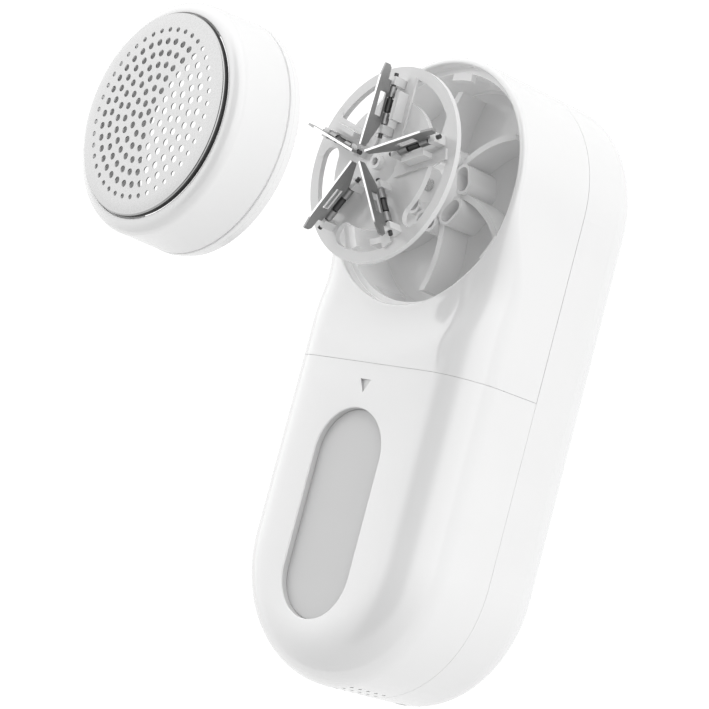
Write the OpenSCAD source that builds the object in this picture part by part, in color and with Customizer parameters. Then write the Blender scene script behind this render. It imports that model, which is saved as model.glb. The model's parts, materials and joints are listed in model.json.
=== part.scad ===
// Battery fabric shaver lying on its back: pill-shaped handle, round cutter head, lifted blade set and cap.
// +Z is out of the front and is the head's axis, +Y runs along the handle towards the head.
// The origin is on the back resting face, under the head's axis.

/* [Body] */
// Width of the handle
body_w = 60; // [58:0.5:62]
// Distance between the centres of the two round ends
body_l = 84; // [80:1:90]
// Thickness of the handle, back to front
body_t = 41.4; // [41:0.1:42.5]
// Wall thickness of the shells
wall = 1.8; // [1.5:0.1:2]
// Height of the side seam above the back
seam_z = 17.8; // [17:0.1:18.5]
// Rounding of the back edge
back_r = 7; // [5:0.5:8]
// Rounding of the front edge
front_r = 11.7; // [10:0.1:12]
// Distance of the lint bin's joint line below the head's axis
split_y = 42.4; // [41:0.1:44]

/* [Head] */
// Height of the bowl's rim above the back
rim_z = 39.6; // [39:0.1:40]
// Radius of the opening inside the rim
rim_r = 28.3; // [28:0.1:28.4]
// Depth of the ledge that the cap seats on, below the rim
ledge_d = 3; // [2.5:0.1:3.5]

/* [Blade set] */
// Number of blades
blades = 5; // [5:1:5]
// Radius of the blade carrier
disc_r = 22.7; // [22:0.1:22.7]
// Thickness of the blade carrier
disc_t = 1.3; // [1.2:0.1:2]
// Radius at the blade tips
tip_r = 21.4; // [20:0.1:21.4]
// Height of the cutting edges above the carrier's front
edge_h = 7.7; // [7:0.1:7.7]
// Distance that the blade set is lifted off its seat
set_lift = 7.8; // [7:0.1:7.8]

/* [Cap] */
// Outer radius of the head cap's front edge
cap_r = 25.2; // [25.2:0.1:25.5]
// Height of the head cap above its seat
cap_h = 17.1; // [17:0.1:17.5]
// Length of the thin skirt that reaches into the bowl below the seat
skirt_h = 1.8; // [1:0.1:1.8]
// Distance that the cap is lifted off its seat
cap_lift = 63.9; // [62:0.1:65]
// Sideways offset of the lifted cap towards the handle
cap_shift = 9.7; // [9:0.1:10]
// Radius of the foil
foil_r = 21.9; // [21.8:0.1:22]
// Rings of holes round the foil's centre hole
foil_rings = 7; // [5:1:7]

/* [Lint bin] */
// Half width of the window
win_r = 10.8; // [10:0.1:11]
// Distance of the window's upper round end below the head's axis
win_y1 = 63.6; // [63:0.1:65]
// Distance of the window's lower round end below the head's axis
win_y2 = 90; // [88:0.1:91]

/* [Hidden] */
$fn = 96;
body_r = body_w / 2;
gap = 0.2;
eps = 0.01;
far = 200;
run_gap = 0.04;
screw_r = 1.2;
head_r = 2;
screw_sink_z = 0.7;
motor_screw_x = 8;
seam_gap = 0.15;
bore_gap = 0.05;
turn_gap = 0.02;

// Heights in the head
ledge_z = rim_z - ledge_d;
bowl_floor_z = 23;
skirt_r = 25.1;
shoulder_r = 25.6;
bowl_r = 26.9;
fan_r = 25.6;
fan_z = 25.2;
fan_t = 1.1;
vane_h = 8;
shaft_r = 1;
stub_r = 1.5;
stub_z = 38;
hub_r = 7.5;
hub_tip_r = 4;
hub_z = 33.5;
stub_top_z = 45;
shaft_top_d = 1.6;
motor_r = 12;
motor_z = 3.6;
motor_top_z = 21.8;

// Heights of the blade set and the cap where they are drawn, lifted off
cap_top_z = ledge_z + cap_h + cap_lift;
edge_clear = 0.6;
disc_top_z = ledge_z + cap_h + set_lift - edge_h - edge_clear;
pin_h = 2.6;
pin_r = 0.5;
pin_z = disc_top_z + pin_h;
blade_t = 0.5;
lug_r = 1;
boss_r = 3.4;
boss_h = 3.6;
nose_r = 1.7;
nose_h = 2.2;
nose_hole_r = 0.9;
nose_flare = 0.6;
hub_cone_r = 4.8;
hub_cone_h = 0.9;

// Heights in the lint bin and the rear shell
bin_gap = 0.08;
bin_z = seam_z + bin_gap;
bin_base_t = 1.6;
bin_end_y = -split_y - bin_gap;

// Half outline of a rounded disc of radius r from z0 to z1, with edge roundings rb below and rt above
module half_outline(r, z0, z1, rb, rt) {
    translate([0, z0 + rb]) square([r, z1 - rt - z0 - rb]);
    translate([0, z0]) square([r - rb, rb + eps]);
    translate([0, z1 - rt - eps]) square([r - rt, rt + eps]);
    translate([r - rb, z0 + rb]) circle(rb);
    translate([r - rt, z1 - rt]) circle(rt);
}

// Pill with round ends at y = 0 and y = -body_l, grown inwards by inset
module pill(inset, z0, z1, rb, rt) {
    r = body_r - inset;
    for (y = [0, -body_l])
        translate([0, y, 0]) rotate_extrude() half_outline(r, z0, z1, rb, rt);
    rotate([90, 0, 0]) linear_extrude(body_l)
        for (m = [0, 1]) mirror([m, 0, 0]) half_outline(r, z0, z1, rb, rt);
}

module body_solid() {
    pill(0, 0, body_t, back_r, front_r);
}

module body_hollow() {
    pill(wall, wall, body_t - wall, back_r - wall, front_r - wall);
}

// Box between two heights and two distances along the handle
module slab(z0, z1, y0, y1) {
    translate([-far / 2, y0, z0]) cube([far, y1 - y0, z1 - z0]);
}

module tube(r_out, r_in, h) {
    difference() {
        cylinder(r = r_out, h = h);
        translate([0, 0, -1]) cylinder(r = r_in, h = h + 2);
    }
}

module stadium(r, y1, y2) {
    for (y = [y1, y2]) translate([0, y]) circle(r);
    translate([-r, min(y1, y2)]) square([2 * r, abs(y2 - y1)]);
}

// Rear shell
screw_sites = [[-21, -34], [21, -34], [-19, -96], [19, -96]];
knob_y = -50;
knob_w = 9;
knob_l = 14;
knob_travel = 4;
knob_pocket_d = 1.5;
knob_clear = 1;
patch_t = 1.2;
patch_margin = 5;
finger_slot_w = 6;
finger_slot_l = 12;
socket_z = 9.1;
socket_w = 9.6;
socket_h = 3.8;
light_y = -70;
light_r = 1;
light_z = 0.4;
pad_r = 4;
pad_sites = [[-14, 8], [14, 8], [-14, -90], [14, -90]];
pad_d = 0.8;
site_gap = 0.1;
screw_clear = 0.3;

module rear_shell() {
    color("white") difference() {
        union() {
            difference() {
                intersection() {
                    body_solid();
                    slab(-1, seam_z, -far, far);
                }
                body_hollow();
            }
            // Thick patch behind the knob's pocket
            translate([0, knob_y, wall - eps]) linear_extrude(patch_t)
                square([knob_w + patch_margin, knob_l + knob_travel + patch_margin], center = true);
        }
        // Pocket for the switch knob and the slot through it
        translate([0, knob_y, -1]) linear_extrude(1 + knob_pocket_d)
            square([knob_w + knob_clear, knob_l + knob_travel + knob_clear], center = true);
        translate([0, knob_y, -1]) linear_extrude(wall + patch_t + 2)
            square([finger_slot_w, finger_slot_l], center = true);
        // Opening for the charging plug
        translate([0, -body_l - body_r + back_r, socket_z]) rotate([90, 0, 0]) linear_extrude(far)
            round_slot_2d(socket_w, socket_h);
        translate([0, light_y, -1]) cylinder(r = light_r + site_gap, h = wall + 2);
        for (p = screw_sites) translate([p[0], p[1], -1]) cylinder(r = screw_r + screw_clear, h = wall + 2);
        for (p = pad_sites) translate([p[0], p[1], -1]) cylinder(r = pad_r + site_gap, h = 1 + pad_d);
    }
}

// Slot of width w and height h with round ends
module round_slot_2d(w, h) {
    square([w - h, h], center = true);
    for (s = [-1, 1]) translate([s * (w - h) / 2, 0]) circle(h / 2);
}

// Front shell: the head ring and the upper part of the front
hollow_end_y = 5 - rim_r;
module front_shell() {
    color("white") difference() {
        union() {
            intersection() {
                body_solid();
                slab(seam_z + seam_gap, far, -split_y, far);
            }
            translate([0, 0, seam_z + seam_gap]) cylinder(r = body_r, h = rim_z - seam_z - seam_gap);
        }
        translate([0, 0, seam_z - 1]) cylinder(r = rim_r, h = far);
        intersection() {
            body_hollow();
            slab(-1, far, -far, hollow_end_y);
        }
    }
}

// Inner frame: the deck that closes the rear shell and carries the motor, with posts down to the shell screws
frame_z = 15.4;
frame_t = 2;
post_z = 3.2;
post_r = 3;
pilot_top_z = 12;
wire_hole_r = 1.6;
wire_hole_x = 9;
wire_hole_y = -30;
module inner_frame() {
    color("gainsboro") difference() {
        union() {
            intersection() {
                pill(wall + gap, wall, body_t, back_r - wall, front_r - wall);
                slab(frame_z, frame_z + frame_t, -far, far);
            }
            for (p = screw_sites) translate([p[0], p[1], post_z])
                cylinder(r = post_r, h = frame_z + eps - post_z);
        }
        translate([0, 0, frame_z - 1]) cylinder(r = motor_r + gap, h = frame_t + 2);
        for (p = screw_sites) translate([p[0], p[1], 0]) cylinder(r = screw_r + bore_gap, h = pilot_top_z);
        for (s = [-1, 1]) translate([s * wire_hole_x, wire_hole_y, frame_z - 1])
            cylinder(r = wire_hole_r, h = frame_t + 2);
    }
}

// Bowl: the round chamber that the fan turns in, with the ledge for the cap and the lint outlet
outlet_w = 26;
bowl_floor_t = 1.6;
outlet_z0 = bowl_floor_z + bowl_floor_t;
outlet_z1 = ledge_z - 1.8;
bush_hole_r = 3.4;
lug_in_r = skirt_r + 0.2;
lug_t = 1.4;
lug_w = 6;
lug_deep = 4;
lug_angles = [90, 210, 330];
module lint_bowl() {
    color("lightgray") difference() {
        translate([0, 0, bowl_floor_z]) cylinder(r = rim_r - site_gap, h = ledge_z - bowl_floor_z);
        difference() {
            translate([0, 0, outlet_z0]) cylinder(r = bowl_r, h = far);
            // Three lugs at the rim that the cap's shoulder rests on
            difference() {
                for (a = lug_angles) rotate(a) translate([lug_in_r - 1, -lug_w / 2, ledge_z - lug_t])
                    cube([lug_deep, lug_w, lug_t]);
                cylinder(r = lug_in_r, h = far);
            }
        }
        translate([0, 0, bowl_floor_z - 1]) cylinder(r = bush_hole_r, h = bowl_floor_t + 2);
        for (a = [0, 180]) rotate(a) translate([motor_screw_x, 0, bowl_floor_z]) {
            translate([0, 0, -1]) cylinder(r = screw_r + bore_gap, h = bowl_floor_t + 2);
            translate([0, 0, screw_sink_z]) cylinder(r = head_r + site_gap, h = bowl_floor_t);
        }
        translate([-outlet_w / 2, -far, outlet_z0]) cube([outlet_w, far - 5, outlet_z1 - outlet_z0]);
    }
}

// Duct from the bowl's outlet to the mouth of the lint bin
duct_t = 1.5;
duct_overlap = 4.5;
module lint_duct() {
    w = outlet_w + 2 * duct_t;
    color("lightgray") difference() {
        translate([-w / 2, -split_y + gap, outlet_z0 - duct_t])
            cube([w, split_y - rim_r + duct_overlap, outlet_z1 - outlet_z0 + 2 * duct_t]);
        translate([-outlet_w / 2, -far, outlet_z0]) cube([outlet_w, far, outlet_z1 - outlet_z0]);
        cylinder(r = rim_r + site_gap, h = far);
    }
}

// Motor: a can with its end bell, the cradle under the bowl, two screws from above and the shaft bush
can_t = 1;
can_hole_r = 3;
bell_h = 3;
bell_step = 0.6;
mount_w = 4.8;
mount_drop = 0.1;
mount_hole_r = 1.1;
mount_hole_angles = [60, 180, 300];
motor_screw_h = 0.8;
bush_h = 4;
bush_sink = 2.5;
module motor_can() {
    color("silver") difference() {
        translate([0, 0, motor_z]) cylinder(r = motor_r, h = motor_top_z - motor_z);
        translate([0, 0, motor_z - 1]) cylinder(r = motor_r - can_t, h = motor_top_z - motor_z);
        translate([0, 0, motor_z]) cylinder(r = can_hole_r, h = far);
        for (a = [0, 180]) rotate(a) translate([motor_screw_x, 0, motor_z])
            cylinder(r = screw_r + bore_gap, h = far);
    }
}

module motor_end_bell() {
    color("dimgray") difference() {
        translate([0, 0, motor_z - bell_step]) cylinder(r = motor_r - can_t - site_gap, h = bell_h);
        translate([0, 0, motor_z + bell_step - gap]) cylinder(r = shaft_r + run_gap, h = far);
    }
}

// Cradle that holds the motor under the bowl
module motor_mount() {
    color("gainsboro") difference() {
        translate([0, 0, frame_z + frame_t + mount_drop])
            tube(motor_r + gap + mount_w, motor_r + gap, bowl_floor_z - frame_z - frame_t - 3 * mount_drop);
        for (a = mount_hole_angles) rotate(a) translate([motor_r + gap + mount_w / 2, 0, 0])
            cylinder(r = mount_hole_r, h = far);
    }
}

module motor_screws() {
    shank_z = motor_top_z - 2;
    head_z = bowl_floor_z + screw_sink_z + turn_gap;
    color("silver") for (a = [0, 180]) rotate(a) translate([motor_screw_x, 0, 0]) {
        translate([0, 0, shank_z]) cylinder(r = screw_r, h = head_z - shank_z + eps);
        translate([0, 0, head_z]) cylinder(r = head_r, h = motor_screw_h);
    }
}

module shaft_bush() {
    color("goldenrod") translate([0, 0, motor_top_z - bush_sink])
        tube(can_hole_r - bore_gap, shaft_r + run_gap, bush_h);
}

// Battery cell along the handle, with its end tabs
cell_r = 6;
cell_l = 38;
cell_y = -68;
cell_x = 14;
cell_z = wall + gap + cell_r;
tab = [6, 0.4, 9];
tab_gap = 0.3;
module battery_cell() {
    color("steelblue") translate([cell_x, cell_y, cell_z]) rotate([90, 0, 0])
        cylinder(r = cell_r, h = cell_l, center = true);
}

module battery_tabs() {
    color("silver") for (s = [-1, 1])
        translate([cell_x, cell_y + s * (cell_l / 2 + tab_gap + tab[1] / 2), cell_z])
            cube(tab, center = true);
}

// Circuit board with the charging socket, the switch and the light
board_z = 6.2;
board_t = 1.2;
board_w = 19;
board_l = 70;
board_x = -13;
board_end_y = -108;
board_notch = [14, 12];
socket_wall = 0.5;
socket_in = [8.2, 2.4];
socket_l = 7.4;
socket_back_t = 0.7;
socket_mouth_d = 0.9;
switch_size = [12, 11, 4.4];
switch_z = wall + 2.2;
switch_slot = [3, 9];
switch_roof_t = 2;
wire_r = 0.5;
wire_x = -10;
wire_step = 1.6;
wire_y = -37.9;
wire_l = 26.5;
wire_z = board_z + 1.9;
shell_screw_l = 10;
shell_screw_z = 0.3;
module circuit_board() {
    color("darkgreen") difference() {
        translate([board_x, board_end_y, board_z]) cube([board_w, board_l, board_t]);
        translate([-board_notch[0] / 2, knob_y - board_notch[1] / 2, board_z - 1])
            cube([board_notch[0], board_notch[1], board_t + 2]);
    }
}

module charge_socket() {
    w = socket_in[0] + 2 * socket_wall;
    h = socket_in[1] + 2 * socket_wall;
    mouth_y = -body_l - body_r + wall + socket_mouth_d;
    color("silver") translate([0, mouth_y, board_z + board_t + turn_gap]) difference() {
        translate([-w / 2, 0, 0]) cube([w, socket_l, h]);
        translate([-socket_in[0] / 2, -1, socket_wall])
            cube([socket_in[0], 1 + socket_l - socket_back_t, socket_in[1]]);
    }
}

module slide_switch() {
    color("black") difference() {
        translate([-switch_size[0] / 2, knob_y - switch_size[1] / 2, switch_z]) cube(switch_size);
        translate([-switch_slot[0] / 2, knob_y - switch_slot[1] / 2, switch_z - 1])
            cube([switch_slot[0], switch_slot[1], 1 + switch_size[2] - switch_roof_t]);
    }
}

module status_light() {
    color("palegreen") translate([0, light_y, light_z])
        cylinder(r = light_r, h = board_z - light_z - site_gap);
}

// Two wires from the board to the motor
module wires() {
    color("tomato") for (s = [-1, 1]) {
        translate([wire_x + s * wire_step, wire_y, wire_z]) rotate([-90, 0, 0])
            cylinder(r = wire_r, h = wire_l);
        translate([wire_x + s * wire_step, wire_y + wire_l, wire_z]) sphere(r = wire_r);
    }
}

module shell_screws() {
    color("silver") for (p = screw_sites) translate([p[0], p[1], shell_screw_z])
        cylinder(r = screw_r, h = shell_screw_l);
}

module rest_pads() {
    color("gainsboro") for (p = pad_sites) translate([p[0], p[1], 0])
        cylinder(r = pad_r, h = pad_d - turn_gap);
}

// Switch knob: a ribbed thumb slide in its pocket, with a finger through the slot into the switch
knob_z = 0.15;
finger = [2.4, 4, 5];
rib_pitch = 1.6;
rib_d = 0.4;
module switch_knob() {
    color("whitesmoke") difference() {
        union() {
            translate([-knob_w / 2, knob_y - knob_l / 2 - knob_travel / 2, knob_z])
                cube([knob_w, knob_l, knob_pocket_d - knob_z - site_gap]);
            translate([-finger[0] / 2, knob_y - knob_travel / 2 - finger[1] / 2, knob_z + bore_gap])
                cube(finger);
        }
        for (i = [-3:3])
            translate([-far / 2, knob_y - knob_travel / 2 + i * rib_pitch - rib_pitch / 4, 0])
                cube([far, rib_pitch / 2, knob_z + rib_d]);
    }
}

// Lint bin: the lower front, open towards the duct, with a stadium window
vent_r = 0.45;
vent_pitch = 2.5;
vent_rows = 5;
vent_cols = 8;
vent_z = 19.9;
mark_w = 3.6;
mark_h = 3;
mark_y = -split_y - 3.8;
mark_d = 0.3;
window_t = 1.2;
window_d = 1.6;
window_lap = 1.5;
filter_y = -101;
filter_w = 36;
filter_h = 12;
filter_t = 1;
filter_pitch = 2.3;
filter_slot = [1.4, 3, 9];
seal_margin = 1.2;
seal_t = 0.1;
seal_gap = 0.02;
module bin_shell() {
    color("white") difference() {
        intersection() {
            body_solid();
            slab(bin_z, far, -far, bin_end_y);
        }
        intersection() {
            body_hollow();
            slab(bin_z - 1, far, -far, bin_end_y - wall);
        }
        translate([-outlet_w / 2, bin_end_y - wall - 1, outlet_z0])
            cube([outlet_w, wall + 2, outlet_z1 - outlet_z0]);
        translate([0, 0, body_t / 2]) linear_extrude(far) stadium(win_r, -win_y1, -win_y2);
        // Pointer mark under the joint line
        translate([0, mark_y, body_t - mark_d]) linear_extrude(1)
            polygon([[-mark_w / 2, 0], [mark_w / 2, 0], [0, -mark_h]]);
        // Air vents in the lower end
        translate([0, -body_l - body_r / 2, 0]) rotate([90, 0, 0]) linear_extrude(far)
            for (i = [0:vent_cols - 1], j = [0:vent_rows - 1])
                translate([(i - (vent_cols - 1) / 2) * vent_pitch, vent_z + j * vent_pitch])
                    circle(vent_r, $fn = 24);
    }
}

module bin_base() {
    color("gainsboro") intersection() {
        pill(wall + site_gap, wall, body_t, back_r - wall, front_r - wall);
        slab(bin_z, bin_z + bin_base_t, -far, bin_end_y - wall - site_gap);
    }
}

module bin_window() {
    color("silver") {
        translate([0, 0, body_t - wall - turn_gap - window_t]) linear_extrude(window_t)
            stadium(win_r + window_lap, -win_y1, -win_y2);
        translate([0, 0, body_t - wall - turn_gap - eps]) linear_extrude(wall + turn_gap + eps - window_d)
            stadium(win_r - site_gap, -win_y1, -win_y2);
    }
}

module bin_filter() {
    color("darkgray") difference() {
        translate([-filter_w / 2, filter_y, bin_z + bin_base_t + site_gap])
            cube([filter_w, filter_t, filter_h]);
        for (i = [-7:7]) translate([i * filter_pitch - filter_slot[0] / 2, filter_y - filter_t,
            bin_z + bin_base_t + (filter_h - filter_slot[2]) / 2]) cube(filter_slot);
    }
}

module bin_seal() {
    w = outlet_w + 2 * seal_margin;
    h = outlet_z1 - outlet_z0 + 2 * seal_margin;
    color("darkgray") translate([0, bin_end_y + seal_gap + seal_t, (outlet_z0 + outlet_z1) / 2])
        rotate([90, 0, 0]) linear_extrude(seal_t) difference() {
            square([w, h], center = true);
            square([outlet_w, outlet_z1 - outlet_z0], center = true);
        }
}

module motor_shaft() {
    color("silver") translate([0, 0, motor_z + bell_step])
        cylinder(r = shaft_r, h = stub_top_z - shaft_top_d - motor_z);
}

// Fan: a backing disc, curved vanes and a coned hub with a ring of oblong pockets between the vanes
vanes = 6;
vane_turn = 55;
vane_t = 1.5;
vane_start = 6;
vane_centre_x = 4;
vane_arc_r = 24;
vane_end_r = 23.4;
pocket_r = 1.6;
pocket_half_l = 1.3;
pocket_wall = 0.7;
pocket_site_r = 7.6;
pocket_floor_z = 28;
pocket_top_z = 35.2;
pocket_turn = 0.42;
hub_foot_z = fan_z + 0.3;
module vane_2d() {
    intersection() {
        translate([vane_centre_x, -vane_arc_r]) difference() {
            circle(vane_arc_r + vane_t / 2);
            circle(vane_arc_r - vane_t / 2);
        }
        translate([vane_start, -vane_arc_r]) square([fan_r, vane_arc_r + 2]);
        circle(vane_end_r);
    }
}

module at_pockets() {
    for (i = [0:vanes - 1]) rotate(vane_turn + (i + pocket_turn) * 360 / vanes)
        translate([pocket_site_r, 0, 0]) children();
}

module fan() {
    color("darkgray") difference() {
        union() {
            translate([0, 0, fan_z]) cylinder(r = fan_r, h = fan_t);
            translate([0, 0, fan_z + fan_t - gap]) linear_extrude(vane_h)
                for (i = [0:vanes - 1]) rotate(vane_turn + i * 360 / vanes) vane_2d();
            translate([0, 0, hub_foot_z]) cylinder(r = hub_r, h = hub_z - hub_foot_z);
            translate([0, 0, hub_z]) cylinder(r1 = hub_r, r2 = hub_tip_r, h = stub_z - site_gap - hub_z);
            translate([0, 0, hub_foot_z]) linear_extrude(pocket_top_z - hub_foot_z)
                at_pockets() stadium(pocket_r + pocket_wall, pocket_half_l, -pocket_half_l);
        }
        translate([0, 0, fan_z - 1]) cylinder(r = shaft_r + turn_gap, h = far);
        translate([0, 0, pocket_floor_z]) linear_extrude(far)
            at_pockets() stadium(pocket_r, pocket_half_l, -pocket_half_l);
    }
}

module drive_stub() {
    color("silver") translate([0, 0, stub_z]) difference() {
        cylinder(r = stub_r, h = stub_top_z - stub_z);
        translate([0, 0, -1]) cylinder(r = shaft_r + turn_gap, h = stub_top_z - stub_z);
    }
}

// Blade carrier: a disc with kidney slots between the blades, a drive boss and two pin posts for each blade
blade_turn = 90;
slot_in_r = 15;
slot_out_r = 20.2;
slot_half_deg = 21;
post_sites = [6.2, 17.4];
post_w = 1.9;
post_t = 2.2;
post_over = 0.9;
rail = [15.5, 2.6, 0.6];
rail_site = [4.5, -4.6];
clip = [6.6, 1.2, 3.4];
clip_site = [9.4, -3.4];
bore_d = 10;
pin_site = 5.2;
pin_l = 15;
spring_site = 11.2;
spring_l = 3;
spring_r = 0.85;
module at_blade(i) {
    rotate(blade_turn - i * 360 / blades) children();
}

// Kidney slot with round ends between two blades
module kidney_2d() {
    mid = (slot_in_r + slot_out_r) / 2;
    half = (slot_out_r - slot_in_r) / 2;
    difference() {
        intersection() {
            circle(slot_out_r);
            polygon([[0, 0], [far * cos(slot_half_deg), far * sin(slot_half_deg)],
                [far * cos(slot_half_deg), -far * sin(slot_half_deg)]]);
        }
        circle(slot_in_r);
    }
    for (s = [-1, 1]) rotate(s * slot_half_deg) translate([mid, 0]) circle(half);
}

module blade_carrier() {
    color("lightgray") difference() {
        union() {
            translate([0, 0, disc_top_z - disc_t]) linear_extrude(disc_t) difference() {
                circle(disc_r);
                for (i = [0:blades - 1]) rotate(blade_turn - (i + 0.5) * 360 / blades) kidney_2d();
            }
            translate([0, 0, disc_top_z - disc_t - boss_h]) cylinder(r = boss_r, h = boss_h + disc_t / 2);
            translate([0, 0, disc_top_z - eps])
                cylinder(r1 = hub_cone_r, r2 = nose_r + nose_flare, h = hub_cone_h);
            translate([0, 0, disc_top_z - eps]) cylinder(r = nose_r, h = nose_h);
            for (i = [0:blades - 1], x = post_sites) at_blade(i)
                translate([x, -post_t / 2, disc_top_z - eps]) cube([post_w, post_t, pin_h + post_over]);
            for (i = [0:blades - 1]) at_blade(i) {
                translate([rail_site[0], rail_site[1], disc_top_z - eps]) cube(rail);
                translate([clip_site[0], clip_site[1], disc_top_z - eps]) cube(clip);
            }
        }
        translate([0, 0, disc_top_z - bore_d]) cylinder(r = stub_r + bore_gap, h = bore_d - gap);
        translate([0, 0, disc_top_z - bore_d]) cylinder(r = nose_hole_r, h = 2 * bore_d);
        for (i = [0:blades - 1]) at_blade(i)
            translate([pin_site - gap, 0, pin_z]) rotate([0, 90, 0])
                cylinder(r = pin_r + turn_gap, h = pin_l + 2 * gap, $fn = 32);
    }
}

module blade_pins() {
    color("dimgray") for (i = [0:blades - 1]) at_blade(i)
        translate([pin_site, 0, pin_z]) rotate([0, 90, 0]) cylinder(r = pin_r, h = pin_l, $fn = 32);
}

module blade_springs() {
    color("dimgray") for (i = [0:blades - 1]) at_blade(i)
        translate([spring_site, 0, pin_z]) rotate([0, 90, 0]) tube(spring_r, pin_r + run_gap, spring_l);
}

// Blade: a thin steel plate on two lugs round its pin, with a window and an overhanging tip
blade_in_x = 2.2;
blade_foot_h = 3.7;
blade_foot_x = [7.6, 18.2];
blade_step_h = 4.7;
blade_tip_cut = 0.6;
blade_drop = [18, 0.5, 1.15];
blade_win = [5.6, 1.7];
blade_win_site = [9.6, 4.35];
blade_lug_x = [8.4, 14.6];
blade_lug_w = 2.4;
blade_lug_h = 1.4;
module blade_2d() {
    difference() {
        polygon([[blade_in_x, edge_h], [blade_in_x, edge_h - 1.6], [blade_foot_x[0], blade_foot_h],
            [blade_foot_x[1], blade_foot_h], [blade_foot_x[1], blade_step_h],
            [tip_r - blade_tip_cut, blade_step_h], [tip_r, blade_step_h + blade_tip_cut],
            [tip_r, edge_h - blade_drop[2]], [blade_drop[0], edge_h - blade_drop[1]]]);
        translate(blade_win_site) square(blade_win);
    }
}

module blade(i) {
    color("gray") at_blade(i) difference() {
        union() {
            translate([0, blade_t / 2, disc_top_z]) rotate([90, 0, 0]) linear_extrude(blade_t) blade_2d();
            for (x = blade_lug_x) {
                translate([x, 0, pin_z]) rotate([0, 90, 0]) cylinder(r = lug_r, h = blade_lug_w, $fn = 48);
                translate([x, -blade_t / 2, pin_z]) cube([blade_lug_w, blade_t, blade_lug_h]);
            }
        }
        translate([blade_lug_x[0] - 1, 0, pin_z]) rotate([0, 90, 0])
            cylinder(r = pin_r + bore_gap, h = 12, $fn = 32);
    }
}

module blade_1() { blade(0); }
module blade_2() { blade(1); }
module blade_3() { blade(2); }
module blade_4() { blade(3); }
module blade_5() { blade(4); }

// Head cap: a round shell with a flared cavity, a rolled front edge, a seating shoulder and a thin skirt
cap_edge_r = 2.4;
cap_front_d = 1.4;
cavity_r = 24.65;
cavity_top_r = 23.75;
cap_open_r = foil_r + site_gap;
ring_in_r = 22.4;
ring_slack = 0.35;
ring_r = 23.7;
ring_t = 2.4;
lip_t = 1.9;
module at_cap() {
    translate([0, -cap_shift, cap_top_z]) children();
}

module cap_shell() {
    color("white") at_cap() difference() {
        union() {
            rotate_extrude() half_outline(cap_r, -cap_h + 1, -cap_front_d, 0.3, cap_edge_r);
            translate([0, 0, -cap_h])
                cylinder(r1 = shoulder_r, r2 = cap_r, h = cap_h - cap_front_d - cap_edge_r);
            translate([0, 0, -cap_h - skirt_h]) cylinder(r = skirt_r, h = skirt_h + eps);
        }
        translate([0, 0, -cap_h - skirt_h - eps])
            cylinder(r1 = cavity_r, r2 = cavity_top_r, h = cap_h + skirt_h - ring_t - lip_t + 2 * eps);
        translate([0, 0, -ring_t - lip_t - eps]) cylinder(r = ring_r, h = ring_t + 2 * eps);
        translate([0, 0, -ring_t - lip_t]) cylinder(r = cap_open_r, h = far);
    }
}

module foil_ring() {
    color("whitesmoke") at_cap() translate([0, 0, -ring_t - lip_t])
        tube(ring_r - bore_gap, ring_in_r, ring_t - ring_slack);
}

// Foil: a thin perforated steel disc with a rim that sits under the cap's edge
foil_t = 0.3;
foil_d = 2.2;
hole_r = 0.75;
rim_hole_r = 0.55;
hole_pitch = 2.57;
ring_turn = 17;
flange_t = 0.28;
module foil() {
    color("silver") at_cap() {
        translate([0, 0, -foil_t]) linear_extrude(foil_t) difference() {
            circle(foil_r);
            circle(hole_r);
            for (k = [1:foil_rings], j = [0:6 * k - 1])
                rotate(j * 60 / k + k * ring_turn) translate([k * hole_pitch, 0])
                    circle(k == foil_rings ? rim_hole_r : hole_r, $fn = 16);
        }
        translate([0, 0, -foil_d]) tube(foil_r, foil_r - foil_t, foil_d - foil_t + eps);
        translate([0, 0, -foil_d]) tube(ring_r - site_gap, foil_r - foil_t, flange_t);
    }
}

rear_shell();
front_shell();
inner_frame();
lint_bowl();
lint_duct();
motor_can();
motor_end_bell();
motor_mount();
motor_screws();
shaft_bush();
battery_cell();
battery_tabs();
circuit_board();
charge_socket();
slide_switch();
status_light();
wires();
shell_screws();
rest_pads();
switch_knob();
bin_shell();
bin_base();
bin_window();
bin_filter();
bin_seal();
motor_shaft();
fan();
drive_stub();
blade_carrier();
blade_pins();
blade_springs();
blade_1();
blade_2();
blade_3();
blade_4();
blade_5();
cap_shell();
foil_ring();
foil();
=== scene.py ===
"""Looks for the fabric shaver: smooth shells, a domed foil, procedural materials, floor, light and camera."""
import json
import math

import bmesh
import bpy
from mathutils import Matrix, Vector


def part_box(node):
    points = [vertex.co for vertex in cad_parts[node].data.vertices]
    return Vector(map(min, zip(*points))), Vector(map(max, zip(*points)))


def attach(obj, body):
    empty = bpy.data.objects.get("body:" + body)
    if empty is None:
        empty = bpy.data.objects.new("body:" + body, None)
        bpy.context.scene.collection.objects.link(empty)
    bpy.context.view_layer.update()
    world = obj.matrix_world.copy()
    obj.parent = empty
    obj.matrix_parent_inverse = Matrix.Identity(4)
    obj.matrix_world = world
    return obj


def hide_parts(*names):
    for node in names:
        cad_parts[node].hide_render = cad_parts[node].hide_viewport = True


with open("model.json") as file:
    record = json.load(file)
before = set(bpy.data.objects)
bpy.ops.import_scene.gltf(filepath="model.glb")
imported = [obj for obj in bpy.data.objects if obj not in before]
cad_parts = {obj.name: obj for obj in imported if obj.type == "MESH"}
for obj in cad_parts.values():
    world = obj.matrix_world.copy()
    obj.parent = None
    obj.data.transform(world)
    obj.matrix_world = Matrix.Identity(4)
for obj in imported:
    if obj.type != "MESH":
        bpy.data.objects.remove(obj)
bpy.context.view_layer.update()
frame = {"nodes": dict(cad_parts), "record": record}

MM = 0.001


def box_mm(node):
    """A CAD node's lowest and highest corners in millimetres."""
    low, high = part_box(node)
    return low / MM, high / MM


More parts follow.
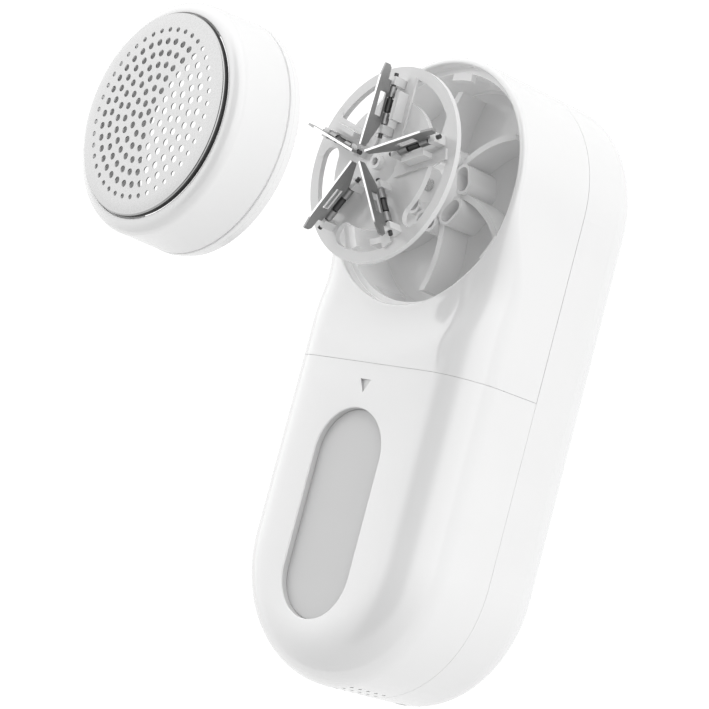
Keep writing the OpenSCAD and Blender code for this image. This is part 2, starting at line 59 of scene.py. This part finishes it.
# ---------------------------------------------------------------- sizes from the frame, in millimetres
rear_low, rear_high = box_mm("rear_shell")
BODY_R = rear_high.x
BODY_L = -rear_low.y - BODY_R
bin_low, bin_high = box_mm("bin_shell")
BODY_T = bin_high.z
BIN_Z = bin_low.z
BIN_Y = bin_high.y
front_low, front_high = box_mm("front_shell")
SPLIT_Y = front_low.y
FRONT_Z = front_low.z
bowl_low, bowl_high = box_mm("lint_bowl")
LEDGE_Z = bowl_high.z
BORE_R = bowl_high.x + 0.1
LEDGE_D = 3.0
RIM_Z = LEDGE_Z + LEDGE_D
foil_low, foil_high = box_mm("foil")
CAP_TOP_Z = foil_high.z
CAP_Y = (foil_low.y + foil_high.y) / 2
cap_low, cap_high = box_mm("cap_shell")
SHOULDER_R = cap_high.x
SKIRT_H = 1.8
CAP_H = CAP_TOP_Z - cap_low.z - SKIRT_H
window_low, window_high = box_mm("bin_window")
WINDOW_Y1 = window_high.y - window_high.x
WINDOW_Y2 = window_low.y + window_high.x
duct_low, duct_high = box_mm("lint_duct")

# shapes of the looks that the frame doesn't give, in millimetres
HANDLE_EDGE_R = 11.7
RIM_EDGE_R = 1.2
EDGE_FADE_L = 26
RISE_L = 12
SHELL_T = 0.8
DUCT_T = 1.5
LEDGE_GAP = 0.04
MID_Z = 25
WINDOW_R = 10.8
MARK_Y = -46.2
MARK_W = 3.6
MARK_H = 3.0
MARK_D = 0.6
FOIL_R = 21.9
FOIL_T = 0.25
HOLE_ZONE_R = 19.0
DOME = 0.45
HOLE_PITCH = 2.57
HOLE_RINGS = 7
HOLE_TURN = 17
HOLE_R = 0.75
RIM_HOLE_R = 0.55
# fall of the cutting edge per millimetre outwards, and the radius that it starts from
EDGE_FALL = 0.0316
EDGE_START_R = 2.2


# ---------------------------------------------------------------- materials
def node_tree(name):
    mat = bpy.data.materials.new(name)
    mat.use_nodes = True
    nt = mat.node_tree
    return mat, nt, nt.nodes["Principled BSDF"]


def noise(nt, scale, detail=4.0):
    """A noise texture in the piece's own coordinates; scale is in bumps per metre."""
    coord = nt.nodes.new("ShaderNodeTexCoord")
    tex = nt.nodes.new("ShaderNodeTexNoise")
    tex.inputs["Scale"].default_value = scale
    tex.inputs["Detail"].default_value = detail
    nt.links.new(coord.outputs["Object"], tex.inputs["Vector"])
    return tex


def ranged(nt, source, low, high):
    """Maps a noise value's usual spread, 0.3 to 0.7, onto low to high."""
    node = nt.nodes.new("ShaderNodeMapRange")
    node.inputs["From Min"].default_value = 0.3
    node.inputs["From Max"].default_value = 0.7
    node.inputs["To Min"].default_value = low
    node.inputs["To Max"].default_value = high
    nt.links.new(source, node.inputs["Value"])
    return node.outputs["Result"]


def scaled(nt, source, low, high, start=0.0, end=1.0, kind="SMOOTHSTEP"):
    """Maps start to end onto low to high."""
    node = nt.nodes.new("ShaderNodeMapRange")
    node.interpolation_type = kind
    for key, value in (("From Min", start), ("From Max", end), ("To Min", low), ("To Max", high)):
        node.inputs[key].default_value = value
    nt.links.new(source, node.inputs["Value"])
    return node.outputs["Result"]


def tinted(nt, source, dark, light):
    """Colours a noise value from dark to light."""
    ramp = nt.nodes.new("ShaderNodeValToRGB")
    ramp.color_ramp.elements[0].position = 0.35
    ramp.color_ramp.elements[1].position = 0.65
    ramp.color_ramp.elements[0].color = (*dark, 1)
    ramp.color_ramp.elements[1].color = (*light, 1)
    nt.links.new(source, ramp.inputs["Fac"])
    return ramp.outputs["Color"]


def bump(nt, bsdf, source, strength, distance):
    node = nt.nodes.new("ShaderNodeBump")
    node.inputs["Strength"].default_value = strength
    node.inputs["Distance"].default_value = distance
    nt.links.new(source, node.inputs["Height"])
    nt.links.new(node.outputs["Normal"], bsdf.inputs["Normal"])


def grey(v):
    return (v, v, v)


def plastic(name, shade, rough=0.2, coat=0.3, grain=9000, grain_depth=2e-6, painted_glow=0.0, ior=1.5):
    """Moulded plastic: a little colour mottle, uneven polish and a very fine surface grain, with an optional
    painted glow that adds light the part doesn't get from the lamps.
    """
    mat, nt, bsdf = node_tree(name)
    mottle = noise(nt, 60)
    dark = tuple(c * 0.985 for c in shade)
    nt.links.new(tinted(nt, mottle.outputs["Fac"], dark, shade), bsdf.inputs["Base Color"])
    polish = noise(nt, 240)
    nt.links.new(ranged(nt, polish.outputs["Fac"], rough * 0.85, rough * 1.15), bsdf.inputs["Roughness"])
    bsdf.inputs["Coat Weight"].default_value = coat
    bsdf.inputs["Coat Roughness"].default_value = 0.05
    bsdf.inputs["IOR"].default_value = ior
    # painted light: emission on a part that is no lamp, brightening it where it sits in shade
    if painted_glow:
        bsdf.inputs["Emission Color"].default_value = (1, 1, 1, 1)
        bsdf.inputs["Emission Strength"].default_value = painted_glow
    bump(nt, bsdf, noise(nt, grain, 2).outputs["Fac"], 0.25, grain_depth)
    return mat


def metal(name, shade, rough=0.25, grain=(4000, 4000, 4000), depth=4e-6):
    """Steel: fine grinding lines, uneven roughness and a faint tint change."""
    mat, nt, bsdf = node_tree(name)
    bsdf.inputs["Metallic"].default_value = 1.0
    coord = nt.nodes.new("ShaderNodeTexCoord")
    stretch = nt.nodes.new("ShaderNodeMapping")
    stretch.inputs["Scale"].default_value = grain
    lines = nt.nodes.new("ShaderNodeTexNoise")
    lines.inputs["Scale"].default_value = 1.0
    lines.inputs["Detail"].default_value = 3.0
    nt.links.new(coord.outputs["Object"], stretch.inputs["Vector"])
    nt.links.new(stretch.outputs["Vector"], lines.inputs["Vector"])
    dark = tuple(c * 0.93 for c in shade)
    nt.links.new(tinted(nt, lines.outputs["Fac"], dark, shade), bsdf.inputs["Base Color"])
    nt.links.new(ranged(nt, lines.outputs["Fac"], rough * 0.8, rough * 1.25), bsdf.inputs["Roughness"])
    bump(nt, bsdf, lines.outputs["Fac"], 0.2, depth)
    return mat


def blade_steel():
    """Dull blade steel with a painted highlight: a near-white band along the top of the ground cutting edge,
    standing for its glint.
    """
    mat = metal("blade_mat", grey(0.36), 0.34, (3000, 3000, 12000))
    nt = mat.node_tree
    bsdf = nt.nodes["Principled BSDF"]
    colour = bsdf.inputs["Base Color"].links[0].from_socket
    coord = nt.nodes.new("ShaderNodeTexCoord")
    split = nt.nodes.new("ShaderNodeSeparateXYZ")
    nt.links.new(coord.outputs["Object"], split.inputs["Vector"])
    flat = nt.nodes.new("ShaderNodeVectorMath")
    flat.operation = "MULTIPLY"
    flat.inputs[1].default_value = (1, 1, 0)
    nt.links.new(coord.outputs["Object"], flat.inputs[0])
    reach = nt.nodes.new("ShaderNodeVectorMath")
    reach.operation = "LENGTH"
    nt.links.new(flat.outputs["Vector"], reach.inputs[0])
    level = nt.nodes.new("ShaderNodeMath")
    level.operation = "MULTIPLY_ADD"
    level.inputs[1].default_value = EDGE_FALL
    nt.links.new(reach.outputs["Value"], level.inputs[0])
    nt.links.new(split.outputs["Z"], level.inputs[2])
    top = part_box("blade_1")[1].z + EDGE_FALL * EDGE_START_R * MM
    # painted highlight: the top of the cutting edge is coloured near-white instead of catching light
    painted_highlight_band = scaled(nt, level.outputs["Value"], 0.0, 1.0, top - 0.10 * MM, top - 0.04 * MM)
    mix = nt.nodes.new("ShaderNodeMixRGB")
    nt.links.new(painted_highlight_band, mix.inputs["Fac"])
    nt.links.new(colour, mix.inputs["Color1"])
    mix.inputs["Color2"].default_value = (0.95, 0.95, 0.95, 1)
    nt.links.new(mix.outputs["Color"], bsdf.inputs["Base Color"])
    return mat


MATERIALS = {
    "white_shell": plastic("white_shell_mat", grey(0.88), 0.14, 1.0, ior=1.7),
    # the bowl and the rotor glow a little: painted light that lifts them out of the shade of the fan and the
    # cap
    "bowl_plastic": plastic("bowl_mat", grey(0.80), 0.16, 0.4, painted_glow=0.1),
    "rotor_plastic": plastic("rotor_mat", grey(0.68), 0.22, 0.4, painted_glow=0.05),
    # dark grey painted shade for the inside of the white cap, seen through the foil's holes
    "painted_cap_shade": plastic("cap_painted_shade_mat", grey(0.34), 0.5, 0.0),
    # painted shade for the walls of the recesses and the vents, and a lighter one for the mark's floor
    "painted_recess_shade": plastic("recess_painted_shade_mat", grey(0.60), 0.4, 0.0),
    "mark_floor": plastic("mark_floor_painted_shade_mat", grey(0.72), 0.3, 0.2),
    "window_plastic": plastic("window_mat", grey(0.68), 0.42, 0.0, 5000, 6e-6),
    "foil_steel": metal("foil_mat", grey(0.52), 0.2, (2500, 2500, 2500), 2e-6),
    "blade_steel": blade_steel(),
    # dark steel; also used as painted shade on the foil's skirt
    "dark_steel": metal("dark_steel_mat", grey(0.10), 0.4),
    "bright_steel": metal("bright_steel_mat", grey(0.68), 0.25),
    "bronze": metal("bronze_mat", (0.55, 0.40, 0.22), 0.4),
    "dark_plastic": plastic("dark_plastic_mat", grey(0.06), 0.4, 0.0),
    "cell_sleeve": plastic("cell_sleeve_mat", (0.16, 0.30, 0.46), 0.3),
    "board_green": plastic("board_mat", (0.03, 0.20, 0.09), 0.4),
    "wire_sleeve": plastic("wire_mat", (0.5, 0.08, 0.06), 0.35),
    "filter_mesh": plastic("filter_mat", grey(0.30), 0.5, 0.0),
    "seal_rubber": plastic("seal_mat", grey(0.25), 0.6, 0.0),
}
CARRIER = plastic("carrier_mat", grey(0.74), 0.2, 0.4)
SLOT_OF = {s["node"]: s["material_slot"] for s in frame["record"]["subparts"]}


def finish_with(obj, mat):
    obj.data.materials.clear()
    obj.data.materials.append(mat)


def smooth(obj, degrees=35):
    """Smooth shading with edges sharper than the angle kept crisp."""
    for poly in obj.data.polygons:
        poly.use_smooth = True
    obj.data.set_sharp_from_angle(angle=math.radians(degrees))


def bevel(obj, width_mm, segments=2, degrees=35):
    mod = obj.modifiers.new("edge_round", "BEVEL")
    mod.width = width_mm * MM
    mod.segments = segments
    mod.limit_method = "ANGLE"
    mod.angle_limit = math.radians(degrees)
    mod.harden_normals = True


# ---------------------------------------------------------------- mesh helpers
def new_piece(name, bm, mat, body):
    """Turns a bmesh in millimetres into a piece that rides on a body."""
    bmesh.ops.remove_doubles(bm, verts=bm.verts, dist=0.002)
    bmesh.ops.recalc_face_normals(bm, faces=bm.faces)
    mesh = bpy.data.meshes.new(name)
    bmesh.ops.scale(bm, vec=(MM, MM, MM), verts=bm.verts)
    bm.to_mesh(mesh)
    bm.free()
    obj = bpy.data.objects.new(name, mesh)
    bpy.context.scene.collection.objects.link(obj)
    obj.data.materials.append(mat)
    smooth(obj)
    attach(obj, body)
    return obj


def add_grid(bm, rows, closed=False):
    """Quads between rows of points; closed joins each row's end to its start."""
    grid = [[bm.verts.new(p) for p in row] for row in rows]
    for upper, lower in zip(grid, grid[1:]):
        count = len(upper)
        for i in range(count if closed else count - 1):
            j = (i + 1) % count
            bm.faces.new((upper[i], upper[j], lower[j], lower[i]))
    return grid


def add_filled(bm, loops, normal):
    """Fills the flat area between closed loops of points."""
    edges = []
    for loop in loops:
        verts = [bm.verts.new(p) for p in loop]
        edges += [bm.edges.new((verts[i], verts[(i + 1) % len(verts)])) for i in range(len(verts))]
    bmesh.ops.triangle_fill(bm, use_beauty=True, edges=edges, normal=normal)


def thicken(obj, thickness_mm):
    mod = obj.modifiers.new("wall", "SOLIDIFY")
    mod.thickness = thickness_mm * MM
    mod.offset = -1
    mod.use_even_offset = True
    mod.use_quality_normals = True


def apply_modifiers(obj):
    bpy.context.view_layer.objects.active = obj
    obj.select_set(True)
    for name in [m.name for m in obj.modifiers]:
        bpy.ops.object.modifier_apply(modifier=name)
    obj.select_set(False)


def face_outwards(obj, point, direction):
    """Flips the whole mesh if the face nearest to point (mm) doesn't face along direction."""
    target = Vector(point) * MM
    nearest = min(obj.data.polygons, key=lambda p: (p.center - target).length)
    if nearest.normal.dot(Vector(direction)) < 0:
        obj.data.flip_normals()


def smoothstep(t):
    t = max(0.0, min(1.0, t))
    return t * t * (3 - 2 * t)


def blend_value(a, b, t):
    return a + (b - a) * t


# ---------------------------------------------------------------- the body's outer surface
def edge_radius(y):
    """Rounding of the front edge: tight round the head, wide along the handle."""
    return blend_value(RIM_EDGE_R, HANDLE_EDGE_R, smoothstep(-y / EDGE_FADE_L))


def top_height(x, y):
    """Height of the flat top: level with the rim round the bowl, rising to the handle's front."""
    rise = smoothstep((math.hypot(x, y) - BODY_R) / RISE_L)
    return blend_value(RIM_Z, BODY_T, rise)


def surface_z(x, y):
    """Height of the front's outer surface, edge rounding included."""
    centre_y = max(-BODY_L, min(0.0, y))
    inset = BODY_R - math.hypot(x, y - centre_y)
    radius = edge_radius(y)
    top = top_height(x, y)
    if inset >= radius:
        return top
    depth = radius - max(0.0, inset)
    return top - radius + math.sqrt(radius * radius - depth * depth)


ROUND_STEPS = 24
ARC = [math.pi / 2 * i / ROUND_STEPS for i in range(ROUND_STEPS + 1)]


def front_shell():
    """Head ring and upper front: rays from the head's axis run from the side wall over the top to the bore."""
    bm = bmesh.new()
    corner = math.atan2(-SPLIT_Y, BODY_R)
    side_steps, split_steps, flat_steps, lip_steps, wall_steps = 200, 120, 16, 5, 6
    side = [-corner + (math.pi + 2 * corner) * i / side_steps for i in range(side_steps + 1)]
    split = [-corner - (math.pi - 2 * corner) * i / split_steps for i in range(split_steps + 1)]
    lip_r, corner_cut, ledge_w = 0.45, 0.15, 1.2

    def ray(angle, on_side):
        c, s = math.cos(angle), math.sin(angle)
        if on_side:
            reach = BODY_R if s >= 0 else BODY_R / abs(c)
            slant = 1.0 if s >= 0 else abs(c)
        else:
            reach = SPLIT_Y / s
            slant = math.cos(corner)
        span = min(edge_radius(reach * s) / slant, 0.9 * (reach - BORE_R - lip_r))
        radii = [reach - span * (1 - math.cos(a)) for a in ARC]
        inner = BORE_R + lip_r
        radii += [blend_value(radii[-1], inner, i / flat_steps) for i in range(1, flat_steps + 1)]
        points = [(r * c, r * s, surface_z(r * c, r * s)) for r in radii]
        top = points[-1][2]
        for i in range(1, lip_steps + 1):
            a = math.pi / 2 * i / lip_steps
            r = BORE_R + lip_r * (1 - math.sin(a))
            points.append((r * c, r * s, top - lip_r * (1 - math.cos(a))))
        ledge_in_r = BORE_R - ledge_w
        cut_r = BORE_R - corner_cut
        points.append((BORE_R * c, BORE_R * s, LEDGE_Z + corner_cut))
        points.append((cut_r * c, cut_r * s, LEDGE_Z + LEDGE_GAP))
        points.append((ledge_in_r * c, ledge_in_r * s, LEDGE_Z + LEDGE_GAP))
        if on_side:
            x, y, z = points[0]
            wall = [(x, y, blend_value(FRONT_Z, z, i / wall_steps)) for i in range(wall_steps)]
            points = wall + points
        return points

    add_grid(bm, [ray(a, True) for a in side])
    add_grid(bm, [ray(a, False) for a in split])
    piece = new_piece("front_shell_skin", bm, MATERIALS["white_shell"], "case")
    face_outwards(piece, (0, BODY_R, MID_Z), (0, 1, 0))
    thicken(piece, SHELL_T)
    apply_modifiers(piece)
    smooth(piece, 30)
    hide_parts("front_shell")
    return piece


def stadium_loop(radius, y1, y2, z, steps=48):
    """Closed loop of a stadium whose round ends are centred at y1 (upper) and y2 (lower)."""
    loop = []
    for i in range(steps + 1):
        a = math.pi * i / steps
        loop.append((radius * math.cos(a), y1 + radius * math.sin(a), z))
    for i in range(steps + 1):
        a = math.pi + math.pi * i / steps
        loop.append((radius * math.cos(a), y2 + radius * math.sin(a), z))
    return loop


def paint_recess_shade(piece):
    """Paints shade on the upright walls of the window's recess and the mark, and a lighter painted shade on
    the mark's floor.
    """
    piece.data.materials.append(MATERIALS["painted_recess_shade"])
    piece.data.materials.append(MATERIALS["mark_floor"])
    slack, recess_low, recess_high = 0.1, BODY_T - 2, BODY_T - 0.3
    for poly in piece.data.polygons:
        x, y, z = poly.center / MM
        upright = abs(poly.normal.z) < 0.5
        in_window = (abs(x) < WINDOW_R + slack and recess_low < z < recess_high
                     and WINDOW_Y2 - WINDOW_R - slack < y < WINDOW_Y1 + WINDOW_R + slack)
        in_mark = (abs(x) < MARK_W / 2 + slack and z < BODY_T - 0.01
                   and MARK_Y - MARK_H - slack < y < MARK_Y + slack)
        # painted shade: recess walls darker, the mark's floor grey
        if upright and (in_window or in_mark):
            poly.material_index = 1
        elif in_mark:
            poly.material_index = 2


def bin_shell():
    """Lint bin: side wall, rounded edge, flat front with window recess and mark, and the mouth's wall."""
    bm = bmesh.new()
    side_steps, end_steps, wall_steps, rim_steps = 40, 96, 6, 4
    outline = []
    for i in range(side_steps):
        outline.append((BODY_R, blend_value(BIN_Y, -BODY_L, i / side_steps), 1.0, 0.0))
    for i in range(end_steps + 1):
        a = -math.pi * i / end_steps
        outline.append((BODY_R * math.cos(a), -BODY_L + BODY_R * math.sin(a), math.cos(a), math.sin(a)))
    for i in range(1, side_steps + 1):
        outline.append((-BODY_R, blend_value(-BODY_L, BIN_Y, i / side_steps), -1.0, 0.0))
    radius = HANDLE_EDGE_R
    rows = []
    for i in range(wall_steps):
        z = blend_value(BIN_Z, BODY_T - radius, i / wall_steps)
        rows.append([(x, y, z) for x, y, nx, ny in outline])
    for a in ARC:
        inset = radius * (1 - math.cos(a))
        z = BODY_T - radius + radius * math.sin(a)
        rows.append([(x - nx * inset, y - ny * inset, z) for x, y, nx, ny in outline])
    add_grid(bm, rows)
    # flat front, with holes for the window and the mark
    edge_r, recess_d, mark_gap = 0.25, 1.75, 0.05
    window_top = stadium_loop(WINDOW_R + edge_r, WINDOW_Y1, WINDOW_Y2, BODY_T)
    mark = [(-MARK_W / 2, MARK_Y, BODY_T), (MARK_W / 2, MARK_Y, BODY_T), (0, MARK_Y - MARK_H, BODY_T)]
    add_filled(bm, [rows[-1], window_top, mark], (0, 0, 1))
    wall_rows = [window_top]
    for i in range(1, rim_steps + 1):
        a = math.pi / 2 * i / rim_steps
        loop_r = WINDOW_R + edge_r * (1 - math.sin(a))
        wall_rows.append(stadium_loop(loop_r, WINDOW_Y1, WINDOW_Y2, BODY_T - edge_r * (1 - math.cos(a))))
    wall_rows.append(stadium_loop(WINDOW_R, WINDOW_Y1, WINDOW_Y2, BODY_T - recess_d))
    add_grid(bm, wall_rows, closed=True)
    mark_floor = [(x, y, z - MARK_D * (0.5 - x / MARK_W) - mark_gap) for x, y, z in mark]
    add_grid(bm, [mark, mark_floor], closed=True)
    bm.faces.new([bm.verts.new(p) for p in mark_floor])
    # end wall round the mouth
    profile = [row[0] for row in rows] + [row[-1] for row in reversed(rows)]
    half_w = duct_high.x - DUCT_T
    z0, z1 = duct_low.z + DUCT_T, duct_high.z - DUCT_T
    mouth = [(-half_w, BIN_Y, z0), (half_w, BIN_Y, z0), (half_w, BIN_Y, z1), (-half_w, BIN_Y, z1)]
    add_filled(bm, [profile, mouth], (0, 1, 0))
    piece = new_piece("bin_shell_skin", bm, MATERIALS["white_shell"], "bin")
    face_outwards(piece, (BODY_R, -BODY_L, MID_Z), (1, 0, 0))
    paint_recess_shade(piece)
    thicken(piece, SHELL_T)
    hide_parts("bin_shell")
    return piece


def revolve(bm, profile, centre_y, base_z, steps=192):
    """Spins a closed profile of (radius, height above base_z) about the axis through centre_y."""
    rows = []
    for r, z in profile:
        ring = []
        for i in range(steps):
            a = 2 * math.pi * i / steps
            ring.append((r * math.cos(a), centre_y + r * math.sin(a), base_z + z))
        rows.append(ring)
    rows.append(rows[0])
    add_grid(bm, rows, closed=True)


def arc_points(cx, cz, radius, start, end, steps):
    """Points on an arc in the profile plane, angles in degrees from the +radius direction."""
    points = []
    for i in range(steps + 1):
        a = math.radians(blend_value(start, end, i / steps))
        points.append((cx + radius * math.cos(a), cz + radius * math.sin(a)))
    return points


def cap_shell():
    """Head cap: a flat lip round the foil, a rolled edge, a straight wall with a groove, and a thin skirt."""
    front_r, edge, front = SHOULDER_R - 0.4, 2.8, -1.85
    bottom, skirt_r, skirt_in = -CAP_H, SHOULDER_R - 0.5, SHOULDER_R - 0.95
    groove, groove_r = bottom + 1.7, SHOULDER_R - 0.5
    lip_r, lip_z, ring_r, ring_z, cavity_r = FOIL_R + 0.25, -2.22, FOIL_R + 1.8, -4.3, FOIL_R + 1.9
    profile = arc_points(lip_r + 0.2, front - 0.2, 0.2, 180, 90, 5)
    profile += arc_points(front_r - edge, front - edge, edge, 90, 0, 16)
    profile += arc_points(SHOULDER_R - 0.22, groove + 0.12, 0.12, 45, -90, 4)
    profile += [(groove_r, groove - 0.05), (groove_r, groove - 0.35)]
    profile += arc_points(SHOULDER_R - 0.15, groove - 0.5, 0.12, 90, 0, 4)
    profile += arc_points(SHOULDER_R - 0.25, bottom + 0.25, 0.25, 0, -90, 5)
    profile += [(skirt_r, bottom)]
    profile += arc_points(skirt_r - 0.2, bottom - SKIRT_H + 0.2, 0.2, 0, -90, 4)
    profile += [(skirt_in, bottom - SKIRT_H), (cavity_r, ring_z - 0.05), (ring_r, ring_z)]
    profile += [(ring_r, lip_z), (lip_r, lip_z)]
    bm = bmesh.new()
    revolve(bm, profile, CAP_Y, CAP_TOP_Z)
    piece = new_piece("cap_shell_skin", bm, MATERIALS["white_shell"], "cap")
    smooth(piece, 40)
    # inward faces of the cap below the lip get the painted shade, standing for the shade inside the cap
    piece.data.materials.append(MATERIALS["painted_cap_shade"])
    face_outwards(piece, (SHOULDER_R, CAP_Y, CAP_TOP_Z - CAP_H / 2), (1, 0, 0))
    axis = Vector((0, CAP_Y * MM, 0))
    for poly in piece.data.polygons:
        spread = (poly.center - axis).to_2d()
        inward = spread.dot(poly.normal.to_2d()) < -0.5 * spread.length
        if inward and poly.center.z / MM < CAP_TOP_Z + front - 0.25:
            poly.material_index = 1
    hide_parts("cap_shell")
    return piece


def foil_height(r):
    """Height of the foil's shallow dome against its centre."""
    return -DOME * (r / HOLE_ZONE_R) ** 2


def ring(radius, cx=0.0, cy=0.0, z=0.0, steps=20):
    """Closed circle of points at one height."""
    turns = [2 * math.pi * i / steps for i in range(steps)]
    return [(cx + radius * math.cos(a), cy + radius * math.sin(a), z) for a in turns]


def foil():
    """Foil: a domed sheet with rings of holes, a rolled border and an edge that goes down into the cap,
    painted dark as shade.
    """
    bm = bmesh.new()
    circle_steps, border_steps, sag, roll_r, foot_z = 160, 12, 0.22, 0.4, -2.15
    loops = [ring(HOLE_ZONE_R, steps=circle_steps), ring(HOLE_R)]
    for k in range(1, HOLE_RINGS + 1):
        hole = RIM_HOLE_R if k == HOLE_RINGS else HOLE_R
        for j in range(6 * k):
            a = math.radians(j * 60 / k + k * HOLE_TURN)
            loops.append(ring(hole, k * HOLE_PITCH * math.cos(a), k * HOLE_PITCH * math.sin(a)))
    add_filled(bm, loops, (0, 0, 1))
    for v in bm.verts:
        v.co.z = foil_height(math.hypot(v.co.x, v.co.y))
    edge_z = foil_height(HOLE_ZONE_R)
    profile = [(HOLE_ZONE_R, edge_z)]
    slope = -2 * DOME / HOLE_ZONE_R
    foot_r = FOIL_R - 0.1
    shoulder_r = foot_r - roll_r
    for i in range(1, border_steps + 1):
        t = i / border_steps
        r = blend_value(HOLE_ZONE_R, shoulder_r, t)
        profile.append((r, edge_z + slope * (r - HOLE_ZONE_R) - sag * t * t))
    shoulder_z = profile[-1][1]
    profile += arc_points(shoulder_r, shoulder_z - roll_r, roll_r, 80, 8, 6)
    profile += [(foot_r, shoulder_z - 0.5), (foot_r, foot_z)]
    add_grid(bm, [ring(r, z=z, steps=circle_steps) for r, z in profile], closed=True)
    bmesh.ops.translate(bm, vec=(0, CAP_Y, CAP_TOP_Z - 0.01), verts=bm.verts)
    piece = new_piece("foil_skin", bm, MATERIALS["foil_steel"], "cap")
    face_outwards(piece, (1.4, CAP_Y, CAP_TOP_Z), (0, 0, 1))
    # painted shade: the foil's upright skirt below the roll gets dark steel, standing for the shade in the gap
    # round the cap's lip
    piece.data.materials.append(MATERIALS["dark_steel"])
    for poly in piece.data.polygons:
        if abs(poly.normal.z) < 0.1 and poly.center.z / MM < CAP_TOP_Z + shoulder_z - 0.3:
            poly.material_index = 1
    thicken(piece, FOIL_T)
    apply_modifiers(piece)
    smooth(piece, 30)
    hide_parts("foil")
    return piece


def vent_cutter(piece):
    """Cuts a grid of fine air vents through the bin's lower end."""
    bm = bmesh.new()
    rows, cols, pitch, radius, first_z, depth = 5, 8, 2.5, 0.45, 19.9, 24
    for j in range(rows):
        for i in range(cols):
            x = (i - (cols - 1) / 2) * pitch
            z = first_z + j * pitch
            matrix = Matrix.Translation((x, -BODY_L - depth, z)) @ Matrix.Rotation(math.pi / 2, 4, "X")
            bmesh.ops.create_cone(bm, cap_ends=True, segments=12, radius1=radius, radius2=radius, depth=depth,
                                  matrix=matrix)
    bmesh.ops.scale(bm, vec=(MM, MM, MM), verts=bm.verts)
    mesh = bpy.data.meshes.new("vents")
    bm.to_mesh(mesh)
    bm.free()
    # the vents' walls take the painted shade of the recesses
    mesh.materials.append(MATERIALS["painted_recess_shade"])
    cutter = bpy.data.objects.new("vents", mesh)
    bpy.context.scene.collection.objects.link(cutter)
    mod = piece.modifiers.new("vents", "BOOLEAN")
    mod.operation = "DIFFERENCE"
    mod.solver = "EXACT"
    mod.material_mode = "TRANSFER"
    mod.object = cutter
    apply_modifiers(piece)
    bpy.data.objects.remove(cutter)
    smooth(piece)


# ---------------------------------------------------------------- build
front_shell()
vent_cutter(bin_shell())
cap_shell()
foil()

REPLACED = {"front_shell", "bin_shell", "cap_shell", "foil"}
BEVELS = {"blade_carrier": 0.15, "fan": 0.2, "lint_bowl": 0.25, "switch_knob": 0.12}
for node, obj in frame["nodes"].items():
    if node in REPLACED:
        continue
    finish_with(obj, CARRIER if node == "blade_carrier" else MATERIALS[SLOT_OF[node]])
    smooth(obj)
    if node in BEVELS:
        bevel(obj, BEVELS[node])


# ---------------------------------------------------------------- floor, light and camera
def floor():
    """Plain pale floor under the pads, a little brighter to the camera than in the light it gives."""
    bpy.ops.mesh.primitive_plane_add(size=6, location=(0, 0, -0.0002))
    plane = bpy.context.object
    plane.name = "floor"
    mat, nt, bsdf = node_tree("floor_mat")
    bsdf.inputs["Base Color"].default_value = (0.15, 0.15, 0.15, 1)
    bsdf.inputs["Roughness"].default_value = 0.9
    bsdf.inputs["Emission Color"].default_value = (1, 1, 1, 1)
    path = nt.nodes.new("ShaderNodeLightPath")
    nt.links.new(scaled(nt, path.outputs["Is Camera Ray"], 0.82, 0.97), bsdf.inputs["Emission Strength"])
    plane.data.materials.append(mat)


def sky():
    """Soft white studio, dimmer towards the handle's foot, with a long dark strip overhead for reflections."""
    world = bpy.data.worlds.new("studio")
    bpy.context.scene.world = world
    world.use_nodes = True
    nt = world.node_tree
    coord = nt.nodes.new("ShaderNodeTexCoord")
    split = nt.nodes.new("ShaderNodeSeparateXYZ")
    nt.links.new(coord.outputs["Generated"], split.inputs["Vector"])
    ramp = nt.nodes.new("ShaderNodeValToRGB")
    ramp.color_ramp.interpolation = "EASE"
    # sideways position from -1 to 1 becomes 0 to 1 on the ramp
    nt.links.new(scaled(nt, split.outputs["X"], 0.0, 1.0, -1.0, 1.0, "LINEAR"), ramp.inputs["Fac"])
    levels = [(0.0, 1.0), (0.28, 1.0), (0.50, 0.10), (0.72, 0.10), (0.90, 1.0), (1.0, 1.0)]
    ramp.color_ramp.elements[0].position = levels[0][0]
    ramp.color_ramp.elements[0].color = (*grey(levels[0][1]), 1)
    ramp.color_ramp.elements[1].position = levels[-1][0]
    ramp.color_ramp.elements[1].color = (*grey(levels[-1][1]), 1)
    for position, level in levels[1:-1]:
        ramp.color_ramp.elements.new(position).color = (*grey(level), 1)
    overhead = scaled(nt, split.outputs["Z"], 0.0, 1.0, 0.55, 0.8)
    mix = nt.nodes.new("ShaderNodeMixRGB")
    nt.links.new(overhead, mix.inputs["Fac"])
    mix.inputs["Color1"].default_value = (1, 1, 1, 1)
    nt.links.new(ramp.outputs["Color"], mix.inputs["Color2"])
    background = nt.nodes["Background"]
    nt.links.new(mix.outputs["Color"], background.inputs["Color"])
    nt.links.new(scaled(nt, split.outputs["Y"], 0.68, 1.57, -0.9, 0.3), background.inputs["Strength"])


# target and distance in metres, angles in degrees, lens and sensor in millimetres
CAMERA = {"target": (0.0104, -0.0434, 0.0557), "azimuth": -8.08, "elevation": 41.07, "distance": 0.56,
          "roll": 69.75, "lens": 132.0, "sensor": 36.0}


def camera():
    """Camera turned about the object's target, rolled so that the handle leans to the right."""
    az, el = math.radians(CAMERA["azimuth"]), math.radians(CAMERA["elevation"])
    out = Vector((math.cos(el) * math.cos(az), math.cos(el) * math.sin(az), math.sin(el)))
    right = (-out).cross(Vector((0, 0, 1))).normalized()
    up = right.cross(-out)
    roll = math.radians(CAMERA["roll"])
    up_rolled = up * math.cos(roll) + right * math.sin(roll)
    right_rolled = (-out).cross(up_rolled)
    data = bpy.data.cameras.new("camera")
    data.lens = CAMERA["lens"]
    data.sensor_width = CAMERA["sensor"]
    cam = bpy.data.objects.new("camera", data)
    rotation = Matrix((right_rolled, up_rolled, out)).transposed().to_4x4()
    cam.matrix_world = Matrix.Translation(Vector(CAMERA["target"]) + out * CAMERA["distance"]) @ rotation
    bpy.context.scene.collection.objects.link(cam)
    bpy.context.scene.camera = cam


floor()
sky()
camera()
bpy.context.scene.view_settings.view_transform = "Standard"
